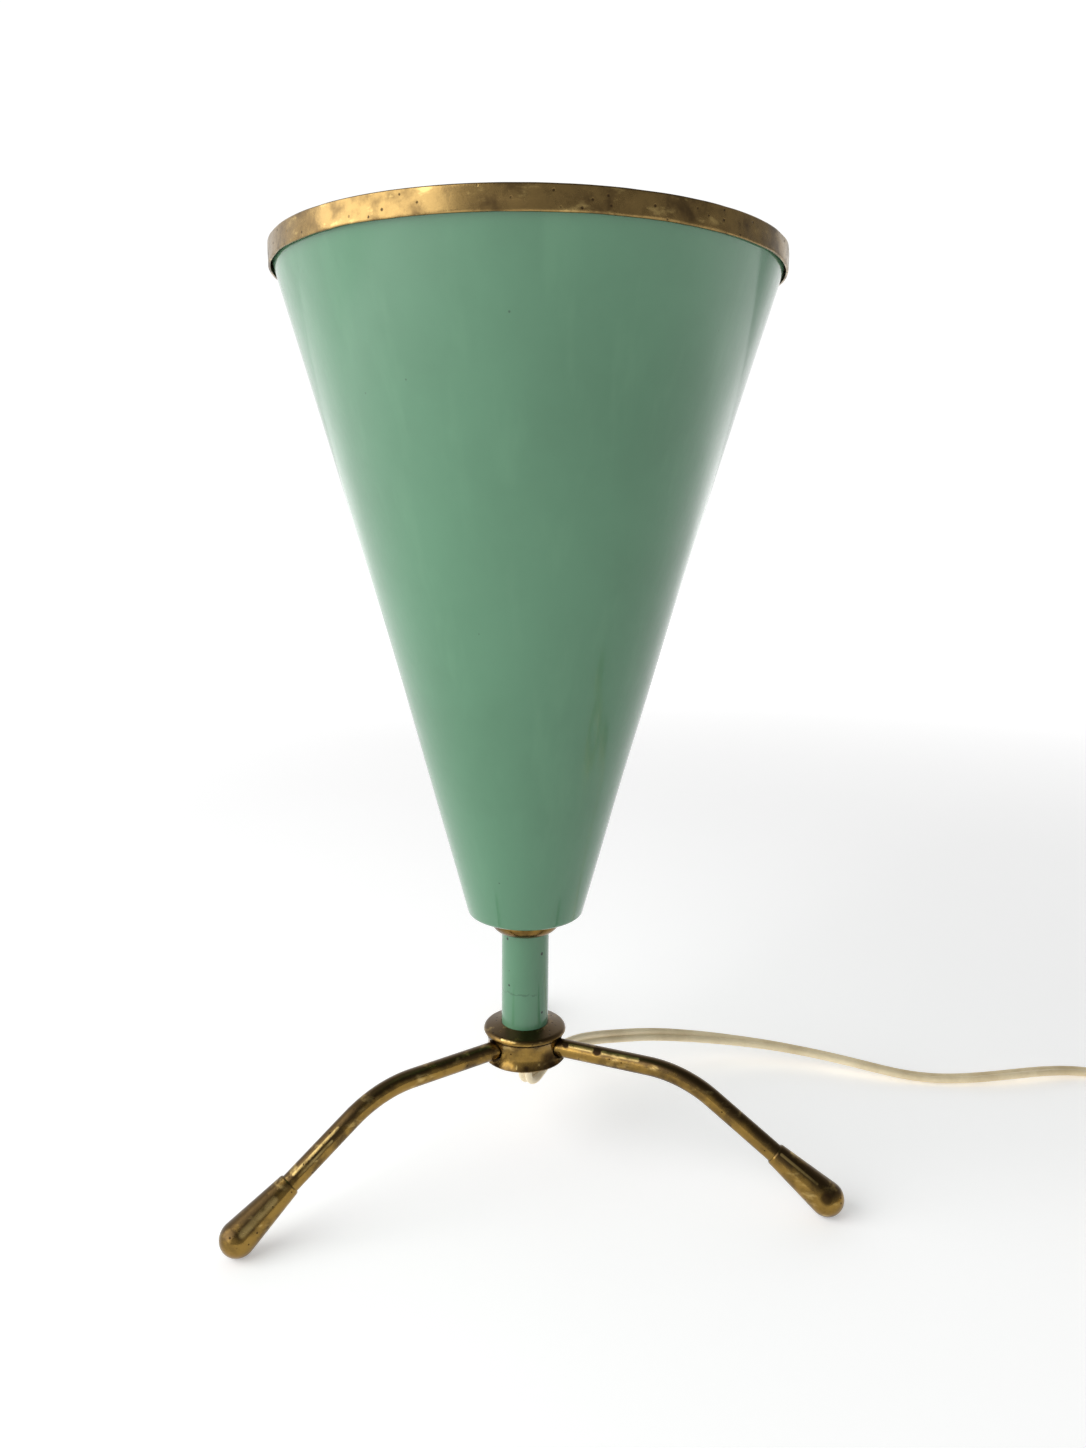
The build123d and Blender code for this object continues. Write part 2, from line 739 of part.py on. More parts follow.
switch_plane = Plane(origin=(SWITCH_X, SWITCH_Y, 0))
switch_posts = [(6.2, 17.5), (-6.2, -17.5)]
cover_h = SWITCH_H - SWITCH_PARTING


def switch_outline(inset):
    """The switch's long rounded outline, drawn in by the inset."""
    SlotOverall(SWITCH_LENGTH - 2 * inset, SWITCH_WIDTH - 2 * inset, rotation=90)


def switch_half(foot, height, pocket_foot, post_hole, hole_depth):
    """One moulded half: a shell with two screw posts and a half-round inlet at each end."""
    with BuildPart() as half:
        with BuildSketch(switch_plane.offset(foot)):
            switch_outline(0)
        extrude(amount=height)
        with BuildSketch(switch_plane.offset(pocket_foot)):
            switch_outline(SWITCH_WALL)
            with Locations(*switch_posts):
                Circle(2.6, mode=Mode.SUBTRACT)
        extrude(amount=height - SWITCH_WALL, mode=Mode.SUBTRACT)
        with BuildSketch(switch_plane.offset(foot)):
            with Locations(*switch_posts):
                Circle(post_hole)
        extrude(amount=hole_depth, mode=Mode.SUBTRACT)
        inlet_at = (SWITCH_X, SWITCH_Y - SWITCH_LENGTH, SWITCH_PARTING)
        with BuildSketch(Plane(origin=inlet_at, z_dir=(0, 1, 0))):
            Circle(FLEX_WIDTH / 2 + 0.2)
        extrude(amount=2 * SWITCH_LENGTH, mode=Mode.SUBTRACT)
    return half


with BuildPart() as switch_base:
    add(switch_half(0, SWITCH_PARTING, SWITCH_WALL, 1.45, SWITCH_PARTING).part)
    fillet(switch_base.faces().sort_by(Axis.Z)[0].outer_wire().edges(), 1.2)
    with BuildSketch(switch_plane):
        with Locations(*switch_posts):
            Circle(2.5)
    extrude(amount=1.4, mode=Mode.SUBTRACT)
save(switch_base, "switch_base")

with BuildPart() as switch_cover:
    add(switch_half(SWITCH_PARTING, cover_h, SWITCH_PARTING, 1.35, cover_h - 2.0).part)
    fillet(switch_cover.faces().sort_by(Axis.Z)[-1].outer_wire().edges(), 3.2)
    with BuildSketch(switch_plane.offset(SWITCH_PARTING)):
        Rectangle(ROCKER_WIDTH + 0.8, 2 * ROCKER_HALF + 2.8)
    extrude(amount=cover_h, mode=Mode.SUBTRACT)
    for side in (-1, 1):
        with BuildSketch(Plane.YZ.offset(SWITCH_X + side * (ROCKER_WIDTH / 2 + 1.3) - 0.7)):
            with Locations((SWITCH_Y, SWITCH_H - SWITCH_WALL - 2.3)):
                Rectangle(7.0, 4.8)
            with Locations((SWITCH_Y, ROCKER_PIVOT_H)):
                Circle(1.02, mode=Mode.SUBTRACT)
        extrude(amount=1.4)
save(switch_cover, "switch_cover")

with BuildPart() as switch_screws:
    with BuildSketch(switch_plane.offset(0.2)):
        with Locations(*switch_posts):
            Circle(2.4)
            Rectangle(4.0, 0.6, mode=Mode.SUBTRACT)
    extrude(amount=1.1)
    with BuildSketch(switch_plane.offset(0.9)):
        with Locations(*switch_posts):
            Circle(1.3)
    extrude(amount=12.0)
save(switch_screws, "switch_screws")

# The key rests with its far end pressed down, at one end of its travel
rocker_tilt = math.radians(ROCKER_TILT)
rocker_plane = Plane(
    origin=(SWITCH_X - ROCKER_WIDTH / 2, SWITCH_Y, ROCKER_PIVOT_H),
    x_dir=(0, math.cos(rocker_tilt), math.sin(rocker_tilt)),
    z_dir=(1, 0, 0),
)
with BuildPart() as switch_rocker:
    with BuildSketch(rocker_plane):
        with BuildLine():
            Polyline(
                (-ROCKER_HALF, 5.9),
                (-ROCKER_HALF, 2.0),
                (-2.0, -1.9),
                (2.0, -1.9),
                (ROCKER_HALF, 2.0),
                (ROCKER_HALF, 5.9),
            )
            ThreePointArc((ROCKER_HALF, 5.9), (0, 4.4), (-ROCKER_HALF, 5.9))
        make_face()
        Circle(1.08, mode=Mode.SUBTRACT)
    extrude(amount=ROCKER_WIDTH)
    fillet(switch_rocker.faces().sort_by(SortBy.AREA)[-1].edges().filter_by(Axis.X), 0.3)
save(switch_rocker, "switch_rocker")

with BuildPart() as switch_pin:
    with BuildSketch(Plane.YZ.offset(SWITCH_X - ROCKER_WIDTH / 2 - 1.9)):
        with Locations((SWITCH_Y, ROCKER_PIVOT_H)):
            Circle(1.0)
    extrude(amount=ROCKER_WIDTH + 3.8)
save(switch_pin, "switch_pin")

with BuildPart() as switch_contacts:
    with BuildSketch(switch_plane.offset(SWITCH_WALL)):
        with Locations((6.4, -2.0)):
            Rectangle(3.0, 16.0)
        with Locations((-6.4, 2.0)):
            Rectangle(3.0, 16.0)
    extrude(amount=1.0)
save(switch_contacts, "switch_contacts")

with BuildPart() as switch_flex:
    with BuildSketch(Plane(origin=RUN_POINTS[-1], z_dir=(0, -1, 0))):
        Circle(FLEX_R)
    extrude(amount=SWITCH_LENGTH - 6.0)
save(switch_flex, "switch_flex")

# --- Plug ------------------------------------------------------------------------------------

plug_plane = Plane(origin=(PLUG_X, PLUG_ENTRY_Y, 0))
plug_face_y = PLUG_ENTRY_Y - PLUG_LENGTH


def pin_plane(y):
    """The upright plane across the pins, at their height, facing the flex."""
    return Plane(origin=(PLUG_X, y, PLUG_H / 2), x_dir=(1, 0, 0), z_dir=(0, 1, 0))


def plug_half(foot, pocket_foot, outer_face):
    """One half of the two-pin plug, parted at the middle of its pins."""
    half_h = PLUG_H / 2
    with BuildPart() as half:
        with BuildSketch(plug_plane.offset(foot)) as outline:
            with BuildLine():
                Polyline(
                    (-6.5, 0),
                    (-6.5, -5.0),
                    (-PLUG_WIDTH / 2, -18.0),
                    (-PLUG_WIDTH / 2, -PLUG_LENGTH),
                    (PLUG_WIDTH / 2, -PLUG_LENGTH),
                    (PLUG_WIDTH / 2, -18.0),
                    (6.5, -5.0),
                    (6.5, 0),
                    close=True,
                )
            make_face()
            fillet(outline.vertices().group_by(Axis.Y)[1:-1], 4.0)
        extrude(amount=half_h)
        fillet(half.faces().sort_by(Axis.Z)[outer_face].outer_wire().edges(), 1.6)
        with BuildSketch(plug_plane.offset(pocket_foot)):
            with Locations((0, -19.0)):
                RectangleRounded(26.0, 13.0, 2.0)
            with Locations((0, PLUG_SCREW_Y)):
                Circle(2.6, mode=Mode.SUBTRACT)
        extrude(amount=half_h - 2.0, mode=Mode.SUBTRACT)
        with BuildSketch(Plane(origin=(PLUG_X, PLUG_ENTRY_Y + 1.0, half_h), z_dir=(0, -1, 0))):
            Circle(FLEX_WIDTH / 2 + 0.1)
        extrude(amount=14.0, mode=Mode.SUBTRACT)
        with BuildSketch(pin_plane(plug_face_y - 1.0)):
            with Locations((-PIN_SPACING / 2, 0), (PIN_SPACING / 2, 0)):
                Circle(PIN_SHANK_R + 0.05)
        extrude(amount=PIN_SHANK + 1.2, mode=Mode.SUBTRACT)
        with BuildSketch(plug_plane):
            with Locations((0, PLUG_SCREW_Y)):
                Circle(1.5)
        extrude(amount=PLUG_H - 1.2, mode=Mode.SUBTRACT)
    return half


with BuildPart() as plug_base:
    add(plug_half(0, 2.0, 0).part)
    with BuildSketch(plug_plane):
        with Locations((0, PLUG_SCREW_Y)):
            Circle(2.7)
    extrude(amount=1.6, mode=Mode.SUBTRACT)
save(plug_base, "plug_base")
save(plug_half(PLUG_H / 2, PLUG_H / 2, -1), "plug_cover")

with BuildPart() as plug_pins:
    with BuildSketch(pin_plane(plug_face_y - PIN_LENGTH)):
        with Locations((-PIN_SPACING / 2, 0), (PIN_SPACING / 2, 0)):
            Circle(PIN_R)
    extrude(amount=PIN_LENGTH)
    fillet(plug_pins.edges().group_by(Axis.Y)[0], 1.0)
    with BuildSketch(pin_plane(plug_face_y)):
        with Locations((-PIN_SPACING / 2, 0), (PIN_SPACING / 2, 0)):
            Circle(PIN_SHANK_R)
    extrude(amount=PIN_SHANK)
save(plug_pins, "plug_pins")

with BuildPart() as plug_screw:
    with BuildSketch(plug_plane.offset(0.3)):
        with Locations((0, PLUG_SCREW_Y)):
            Circle(2.5)
            Rectangle(4.2, 0.7, mode=Mode.SUBTRACT)
    extrude(amount=1.2)
    with BuildSketch(plug_plane.offset(1.0)):
        with Locations((0, PLUG_SCREW_Y)):
            Circle(1.4)
    extrude(amount=13.0)
save(plug_screw, "plug_screw")

with BuildPart() as plug_cores:
    for side in (-1, 1):
        with BuildLine() as core:
            FilletPolyline(
                (PLUG_X + side * 1.25, PLUG_ENTRY_Y - 2.0, PLUG_H / 2),
                (PLUG_X + side * 1.25, PLUG_ENTRY_Y - 12.6, PLUG_H / 2),
                (PLUG_X + side * 5.0, PLUG_ENTRY_Y - 15.5, PLUG_H / 2),
                (PLUG_X + side * (PIN_SPACING / 2 - 1.0), PLUG_ENTRY_Y - 20.0, PLUG_H / 2),
                radius=2.0,
            )
        with BuildSketch(Plane(origin=core.line @ 0, z_dir=core.line % 0)):
            Circle(CORE_WIRE_R)
        sweep(path=core.wires()[0])
save(plug_cores, "plug_cores")
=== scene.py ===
import math

import bpy
from mathutils import Matrix, Vector, noise


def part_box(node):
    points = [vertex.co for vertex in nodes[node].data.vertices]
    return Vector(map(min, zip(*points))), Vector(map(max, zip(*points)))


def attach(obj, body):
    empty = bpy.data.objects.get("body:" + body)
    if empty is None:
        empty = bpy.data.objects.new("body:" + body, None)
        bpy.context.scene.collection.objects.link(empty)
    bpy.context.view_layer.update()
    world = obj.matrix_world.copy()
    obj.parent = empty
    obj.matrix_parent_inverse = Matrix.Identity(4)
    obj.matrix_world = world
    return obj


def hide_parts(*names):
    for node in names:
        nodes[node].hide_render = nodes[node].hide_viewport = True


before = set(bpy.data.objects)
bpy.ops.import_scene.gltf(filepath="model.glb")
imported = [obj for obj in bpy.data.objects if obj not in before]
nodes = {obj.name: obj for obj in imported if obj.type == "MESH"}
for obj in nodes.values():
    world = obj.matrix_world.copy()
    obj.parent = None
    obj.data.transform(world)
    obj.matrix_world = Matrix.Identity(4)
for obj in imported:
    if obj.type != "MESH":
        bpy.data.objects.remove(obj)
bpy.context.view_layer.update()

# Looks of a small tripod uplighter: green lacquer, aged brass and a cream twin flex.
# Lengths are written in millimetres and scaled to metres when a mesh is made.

MM = 0.001

# --- Camera ----------------------------------------------------------------------------------

CAMERA_AT = (-0.04712, -0.44382, 0.27433)
CAMERA_HEADING = -6.943
CAMERA_PITCH = 10.682
CAMERA_ROLL = 0.495
CAMERA_LENS = 27.02
CAMERA_SENSOR = 36.0

camera_data = bpy.data.cameras.new("camera")
camera_data.lens = CAMERA_LENS
camera_data.sensor_width = CAMERA_SENSOR
camera_data.clip_start = 0.01
camera = bpy.data.objects.new("camera", camera_data)
bpy.context.scene.collection.objects.link(camera)
camera.matrix_world = (
    Matrix.Translation(CAMERA_AT)
    @ Matrix.Rotation(math.radians(CAMERA_HEADING), 4, "Z")
    @ Matrix.Rotation(math.radians(90.0 - CAMERA_PITCH), 4, "X")
    @ Matrix.Rotation(math.radians(CAMERA_ROLL), 4, "Z")
)
bpy.context.scene.camera = camera


# --- Mesh helpers ----------------------------------------------------------------------------


SHARP_ANGLE = math.radians(38.0)


def add_mesh(name, points, faces, uvs=None, face_slots=None):
    """A smooth-shaded mesh object from points in mm."""
    mesh = bpy.data.meshes.new(name)
    mesh.from_pydata([Vector(point) * MM for point in points], [], faces)
    if face_slots:
        mesh.polygons.foreach_set("material_index", face_slots)
    if uvs:
        layer = mesh.uv_layers.new(name="UVMap")
        for loop, uv in zip(layer.data, uvs):
            loop.uv = uv
    mesh.update()
    mesh.shade_smooth()
    mesh.set_sharp_from_angle(angle=SHARP_ANGLE)
    made = bpy.data.objects.new(name, mesh)
    bpy.context.scene.collection.objects.link(made)
    return made


def dress(made, materials, body, replaced=()):
    """Give a piece its materials and its body, and hide the CAD nodes it stands for."""
    for material in materials:
        made.data.materials.append(material)
    if replaced:
        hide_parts(*replaced)
    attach(made, body)
    return made


def grid_faces(rings, around, closed_rings):
    """Quads over rings of points that each close on themselves, with their u, v corners."""
    faces = []
    uvs = []
    last = rings if closed_rings else rings - 1
    for ring in range(last):
        above = (ring + 1) % rings
        low, high = ring * around, above * around
        for step in range(around):
            nxt = (step + 1) % around
            faces.append((low + step, low + nxt, high + nxt, high + step))
            u0, u1 = step / around, (step + 1) / around
            v0, v1 = ring / last, (ring + 1) / last
            uvs += [(u0, v0), (u1, v0), (u1, v1), (u0, v1)]
    return faces, uvs


def lathe(name, profile, around, shape, slot_of=None):
    """Turn a closed loop of (radius, height) points about +Z. shape(angle, radius, height) moves each."""
    points = []
    for radius, height in profile:
        for step in range(around):
            angle = 2 * math.pi * step / around
            r, h = shape(angle, radius, height)
            points.append(Vector((r * math.cos(angle), r * math.sin(angle), h)))
    faces, uvs = grid_faces(len(profile), around, True)
    slots = None
    if slot_of:
        slots = [slot_of(index // around) for index in range(len(faces))]
    return add_mesh(name, points, faces, uvs, slots)


def arc_points(centre, radius, start, end, count):
    """Points along an arc, angles in degrees."""
    found = []
    for index in range(count + 1):
        angle = math.radians(start + (end - start) * index / count)
        found.append((centre[0] + radius * math.cos(angle), centre[1] + radius * math.sin(angle)))
    return found


def bowed(start, end, bow, count):
    """Points from start to end, bowed to the left of the way there by bow at the middle."""
    sx, sy = start
    ex, ey = end
    length = math.hypot(ex - sx, ey - sy)
    nx, ny = -(ey - sy) / length, (ex - sx) / length
    found = []
    for index in range(count + 1):
        t = index / count
        off = bow * 4 * t * (1 - t)
        found.append((sx + (ex - sx) * t + nx * off, sy + (ey - sy) * t + ny * off))
    return found


def sweep(name, path, section, rolls, up):
    """Carry a closed section of (across, along_up) points along path points, with a cap at each end."""
    points = []
    previous = None
    for index, here in enumerate(path):
        ahead = path[min(index + 1, len(path) - 1)] - path[max(index - 1, 0)]
        tangent = ahead.normalized()
        across = tangent.cross(up(index))
        if across.length < 1e-4 and previous is not None:
            across = previous
        across = across.normalized()
        if previous is not None and across.dot(previous) < 0:
            across = -across
        previous = across
        lift = across.cross(tangent).normalized()
        roll = rolls(index)
        side = across * math.cos(roll) + lift * math.sin(roll)
        rise = lift * math.cos(roll) - across * math.sin(roll)
        for x, y in section:
            points.append(here + side * x + rise * y)
    around = len(section)
    faces, uvs = grid_faces(len(path), around, False)
    faces.append(tuple(range(around)))
    faces.append(tuple(reversed(range(len(points) - around, len(points)))))
    uvs += [(0.5, 0.0)] * around + [(0.5, 1.0)] * around
    return add_mesh(name, points, faces, uvs)


def wobble(point, scale, amount, seed):
    """Smooth seeded noise at a place, for slightly uneven metal."""
    return amount * noise.noise(Vector(point) * scale + Vector((seed, 2.3 * seed, 5.1 * seed)))


# --- Shader helpers --------------------------------------------------------------------------


def srgb(red, green, blue):
    """A linear colour from the usual 0 to 255 numbers."""
    found = []
    for value in (red, green, blue):
        value /= 255
        found.append(value / 12.92 if value <= 0.04045 else ((value + 0.055) / 1.055) ** 2.4)
    return (*found, 1.0)


class Shader:
    """A material whose nodes are added one call at a time."""

    def __init__(self, name, **sockets):
        self.material = bpy.data.materials.new(name)
        self.material.use_nodes = True
        self.tree = self.material.node_tree
        self.surface = self.tree.nodes["Principled BSDF"]
        for key, value in sockets.items():
            self.surface.inputs[key.replace("_", " ")].default_value = value
        self.place = self.add("ShaderNodeTexCoord").outputs["Object"]

    def add(self, kind, inputs=(), **settings):
        node = self.tree.nodes.new(kind)
        for key, value in settings.items():
            setattr(node, key, value)
        for key, value in dict(inputs).items():
            if isinstance(value, bpy.types.NodeSocket):
                self.tree.links.new(value, node.inputs[key])
            else:
                node.inputs[key].default_value = value
        return node

    def noise(self, scale, detail=4.0, rough=0.55, stretch=None, distortion=0.0):
        """Noise from 0 to 1, at scale per metre."""
        where = self.place
        if stretch:
            where = self.add("ShaderNodeMapping", {"Vector": where, "Scale": stretch}).outputs["Vector"]
        settings = {"Vector": where, "Scale": scale, "Detail": detail, "Roughness": rough}
        settings["Distortion"] = distortion
        return self.add("ShaderNodeTexNoise", settings).outputs["Fac"]

    def cells(self, scale):
        """Distance to the nearest of many scattered points, and that point's own random colour."""
        settings = {"Vector": self.place, "Scale": scale, "Randomness": 1.0}
        node = self.add("ShaderNodeTexVoronoi", settings)
        return node.outputs["Distance"], node.outputs["Color"]

    def ramp(self, value, low, high, from_value=0.0, to_value=1.0):
        """A smooth step of value from low to high, mapped to from_value .. to_value."""
        settings = {"Value": value, "From Min": low, "From Max": high}
        settings.update({"To Min": from_value, "To Max": to_value})
        node = self.add("ShaderNodeMapRange", settings, interpolation_type="SMOOTHSTEP")
        return node.outputs["Result"]

    def math(self, operation, first, second=0.0):
        return self.add("ShaderNodeMath", {0: first, 1: second}, operation=operation).outputs[0]

    def vector(self, operation, inputs, output="Vector"):
        return self.add("ShaderNodeVectorMath", inputs, operation=operation).outputs[output]

    def mix(self, share, first, second):
        node = self.add("ShaderNodeMix", data_type="RGBA", blend_type="MIX")
        for index, value in ((0, share), (6, first), (7, second)):
            if isinstance(value, bpy.types.NodeSocket):
                self.tree.links.new(value, node.inputs[index])
            else:
                node.inputs[index].default_value = value
        return node.outputs[2]

    def near(self, centre, radius, soft):
        """1 within radius of a point, in mm, falling to 0 over soft."""
        spot = [value * MM for value in centre]
        away = self.vector("DISTANCE", {0: self.place, 1: spot}, "Value")
        return self.ramp(away, radius * MM, (radius + soft) * MM, 1.0, 0.0)

    def streak(self, start, end, radius, soft):
        """1 within radius of the line between two points, in mm, falling to 0 over soft."""
        first, last = Vector(start) * MM, Vector(end) * MM
        along = (last - first).normalized()
        off = self.vector("SUBTRACT", {0: self.place, 1: first})
        reach = self.vector("DOT_PRODUCT", {0: off, 1: along}, "Value")
        reach = self.math("MINIMUM", self.math("MAXIMUM", reach, 0.0), (last - first).length)
        spot = self.vector("SCALE", {0: along, "Scale": reach})
        away = self.vector("DISTANCE", {0: off, 1: spot}, "Value")
        return self.ramp(away, radius * MM, (radius + soft) * MM, 1.0, 0.0)

    def axis(self, which):
        return self.add("ShaderNodeSeparateXYZ", {0: self.place}).outputs[which]

    def normal(self, which):
        facing = self.add("ShaderNodeNewGeometry").outputs["Normal"]
        return self.add("ShaderNodeSeparateXYZ", {0: facing}).outputs[which]

    def link(self, value, socket):
        self.tree.links.new(value, self.surface.inputs[socket])

    def bump(self, height, strength, distance):
        node = self.add("ShaderNodeBump", {"Height": height, "Strength": strength, "Distance": distance})
        self.link(node.outputs["Normal"], "Normal")


def lacquer(name, base, dark, pale, chips, crack_at=None):
    """Old sprayed lacquer: uneven tone, orange peel, specks and a few chips."""
    made = Shader(name, Coat_Weight=0.9, Coat_Roughness=0.09, Coat_IOR=1.5, Specular_IOR_Level=0.15)
    tone = made.noise(11.0, 5.0, 0.6)
    cloud = made.noise(3.2, 3.0, 0.5)
    colour = made.mix(made.ramp(tone, 0.35, 0.72), base, dark)
    colour = made.mix(made.ramp(cloud, 0.46, 0.75, 0.0, 0.6), colour, pale)
    grime = made.noise(60.0, 6.0, 0.7)
    colour = made.mix(made.ramp(grime, 0.55, 0.85, 0.0, 0.28), colour, dark)
    runs = made.noise(1.0, 3.0, 0.6, stretch=(70.0, 70.0, 4.0))
    colour = made.mix(made.ramp(runs, 0.5, 0.75, 0.0, 0.34), colour, pale)
    gap, pick = made.cells(150.0)
    chosen = made.ramp(pick, 0.80, 0.82)
    speck = made.math("MULTIPLY", made.ramp(gap, 0.035, 0.075, 1.0, 0.0), chosen)
    marks = [made.math("MULTIPLY", speck, 0.55)]
    for centre, radius in chips:
        marks.append(made.near(centre, radius, radius * 0.8))
    if crack_at:
        height = made.math("MULTIPLY_ADD", made.noise(150.0, 6.0, 0.7), 0.0062)
        height.node.inputs[2].default_value = (crack_at - 3.1) * MM
        away = made.math("ABSOLUTE", made.math("SUBTRACT", made.axis("Z"), height))
        broken = made.ramp(made.noise(240.0, 2.0, 0.5), 0.4, 0.55)
        line = made.math("MULTIPLY", made.ramp(away, 0.00008, 0.00055, 0.30, 0.0), broken)
        marks.append(line)
    total = marks[0]
    for mark in marks[1:]:
        total = made.math("MAXIMUM", total, mark)
    colour = made.mix(total, colour, srgb(28, 46, 36))
    made.link(colour, "Base Color")
    made.link(made.ramp(made.noise(35.0, 4.0, 0.6), 0.3, 0.8, 0.30, 0.46), "Roughness")
    peel = made.noise(420.0, 2.0, 0.5)
    waves = made.noise(26.0, 3.0, 0.5)
    height = made.math("ADD", made.math("MULTIPLY", peel, 0.22), waves)
    height = made.math("SUBTRACT", height, made.math("MULTIPLY", total, 0.8))
    made.bump(height, 0.28, 0.0006)
    return made.material


def brass(name, gold, brown, pale, dust_and_shade=0.0, pit_scale=420.0, spots=(), glint_streaks=(), grain=None, shine=0.17):
    """Brass that has lost its lacquer: gold where it is rubbed, brown where it isn't, with pits.

    The up-and-down darkening amount browns faces that look up, for dust with a painted dark reflection, and
    faces that look down, as painted shade; spots are dark marks and the streaks are pale painted highlights.
    """
    made = Shader(name, Metallic=1.0)
    patch = made.noise(60.0, 6.0, 0.62, distortion=0.3)
    blotch = made.noise(190.0, 5.0, 0.6)
    age = made.math("ADD", made.math("MULTIPLY", patch, 0.62), made.math("MULTIPLY", blotch, 0.38))
    # Painted shade and reflection: faces that look down go browner as shade, faces that look up go browner
    # for dust and a painted dark reflection.
    if dust_and_shade:
        age = made.math("ADD", age, made.math("MULTIPLY", made.ramp(made.normal("Z"), 0.15, 0.9), dust_and_shade))
        underside_shade = made.ramp(made.normal("Z"), -0.95, -0.35, dust_and_shade, 0.0)
        age = made.math("ADD", age, underside_shade)
    worn = made.ramp(age, 0.42, 0.66)
    colour = made.mix(worn, gold, brown)
    bright = made.noise(110.0, 4.0, 0.6, stretch=(1.0, 1.0, 2.4))
    colour = made.mix(made.ramp(bright, 0.56, 0.74, 0.0, 0.5), colour, pale)
    if grain:
        drawn = made.noise(1.0, 3.0, 0.6, stretch=grain)
        colour = made.mix(made.ramp(drawn, 0.42, 0.75, 0.0, 0.35), colour, brown)
    # Pale streaks painted where highlights fall on the metal: painted highlights.
    for start, end, radius, soft in glint_streaks:
        patchy = made.ramp(blotch, 0.3, 0.55, 0.2, 0.8)
        painted_glint = made.math("MULTIPLY", made.streak(start, end, radius, soft), patchy)
        colour = made.mix(painted_glint, colour, pale)
    gap, pick = made.cells(pit_scale)
    pit = made.math("MULTIPLY", made.ramp(gap, 0.10, 0.22, 1.0, 0.0), made.ramp(pick, 0.62, 0.66))
    mark = pit
    for centre, radius, soft in spots:
        mark = made.math("MAXIMUM", mark, made.near(centre, radius, soft))
    colour = made.mix(made.math("MULTIPLY", mark, 0.82), colour, srgb(44, 30, 20))
    made.link(colour, "Base Color")
    rough = made.ramp(age, 0.38, 0.70, shine, shine + 0.14)
    rough = made.math("ADD", rough, made.math("MULTIPLY", mark, 0.25))
    made.link(rough, "Roughness")
    fine = made.noise(900.0, 3.0, 0.6)
    height = made.math("ADD", made.math("MULTIPLY", fine, 0.25), made.math("MULTIPLY", patch, 0.6))
    height = made.math("SUBTRACT", height, made.math("MULTIPLY", mark, 0.9))
    made.bump(height, 0.24, 0.0004)
    return made.material


def moulded(name, base, shade, rough, grain=500.0, coat=0.0):
    """Moulded plastic, rubber or glazed ware: faint mottling and a fine grain."""
    made = Shader(name, Coat_Weight=coat, Coat_Roughness=0.08)
    tone = made.noise(45.0, 5.0, 0.6)
    colour = made.mix(made.ramp(tone, 0.35, 0.75), base, shade)
    dust = made.noise(220.0, 4.0, 0.7)
    colour = made.mix(made.ramp(dust, 0.60, 0.85, 0.0, 0.25), colour, shade)
    made.link(colour, "Base Color")
    made.link(made.ramp(dust, 0.3, 0.8, rough - 0.06, rough + 0.10), "Roughness")
    made.bump(made.noise(grain, 3.0, 0.6), 0.15, 0.0003)
    return made.material


def plated(name, base, tarnish, rough):
    """Plated or turned metal with fine tool marks."""
    made = Shader(name, Metallic=1.0)
    tone = made.noise(120.0, 5.0, 0.6)
    colour = made.mix(made.ramp(tone, 0.40, 0.75), base, tarnish)
    made.link(colour, "Base Color")
    lines = made.noise(320.0, 3.0, 0.6, stretch=(1.0, 1.0, 14.0))
    made.link(made.ramp(lines, 0.3, 0.8, rough - 0.08, rough + 0.12), "Roughness")
    made.bump(lines, 0.12, 0.0002)
    return made.material


GOLD = srgb(148, 118, 60)
BROWN = srgb(86, 68, 42)
PALE = srgb(222, 192, 124)
GREEN = srgb(80, 126, 96)
GREEN_DARK = srgb(73, 117, 88)
GREEN_PALE = srgb(90, 135, 104)
CREAM = srgb(244, 228, 192)

# --- Shade and rim band ----------------------------------------------------------------------

SHADE_FOOT_R = 24.4
SHADE_HOLLOW = 1.1
SHADE_WALL = 0.8
SHADE_ROUND = 2.2
SHADE_STEPS = 60
PIPE_HOLE_R = 5.15
cone_low, cone_high = (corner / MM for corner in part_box("shade_cone"))
band_low, band_high = (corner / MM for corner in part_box("shade_rim_band"))


def shade_outline():
    """The cone's outline, outside from the foot to the mouth, then inside back down."""
    foot, mouth, top_r = cone_low.z, cone_high.z, cone_high.x
    lean = math.degrees(math.atan2(mouth - foot, top_r - SHADE_FOOT_R))
    reach = SHADE_ROUND * math.tan(math.radians(lean / 2))
    corner = (SHADE_FOOT_R - reach, foot + SHADE_ROUND)
    outside = [(PIPE_HOLE_R, foot)]
    outside += arc_points(corner, SHADE_ROUND, -90.0, lean - 90.0, 8)
    outside += bowed(outside[-1], (top_r, mouth), SHADE_HOLLOW, SHADE_STEPS)[1:]
    inside = []
    for radius, height in outside[-(SHADE_STEPS + 1):]:
        inside.append((radius - SHADE_WALL * 1.04, max(height, foot + SHADE_WALL) + 0.22 * SHADE_WALL))
    inside[-1] = (inside[-1][0], mouth)
    inside[0] = (inside[0][0], foot + SHADE_WALL)
    return outside, inside[::-1] + [(PIPE_HOLE_R, foot + SHADE_WALL)]


def shade_shape(angle, radius, height):
    """Hand-spun metal is a little out of round."""
    place = (math.cos(angle), math.sin(angle), height * 0.012)
    share = max(0.0, min(1.0, (height - cone_low.z - 8.0) / 40.0))
    share *= max(0.0, min(1.0, (cone_high.z - height) / 12.0))
    return radius + share * wobble(place, 1.3, 0.35, 3.0), height


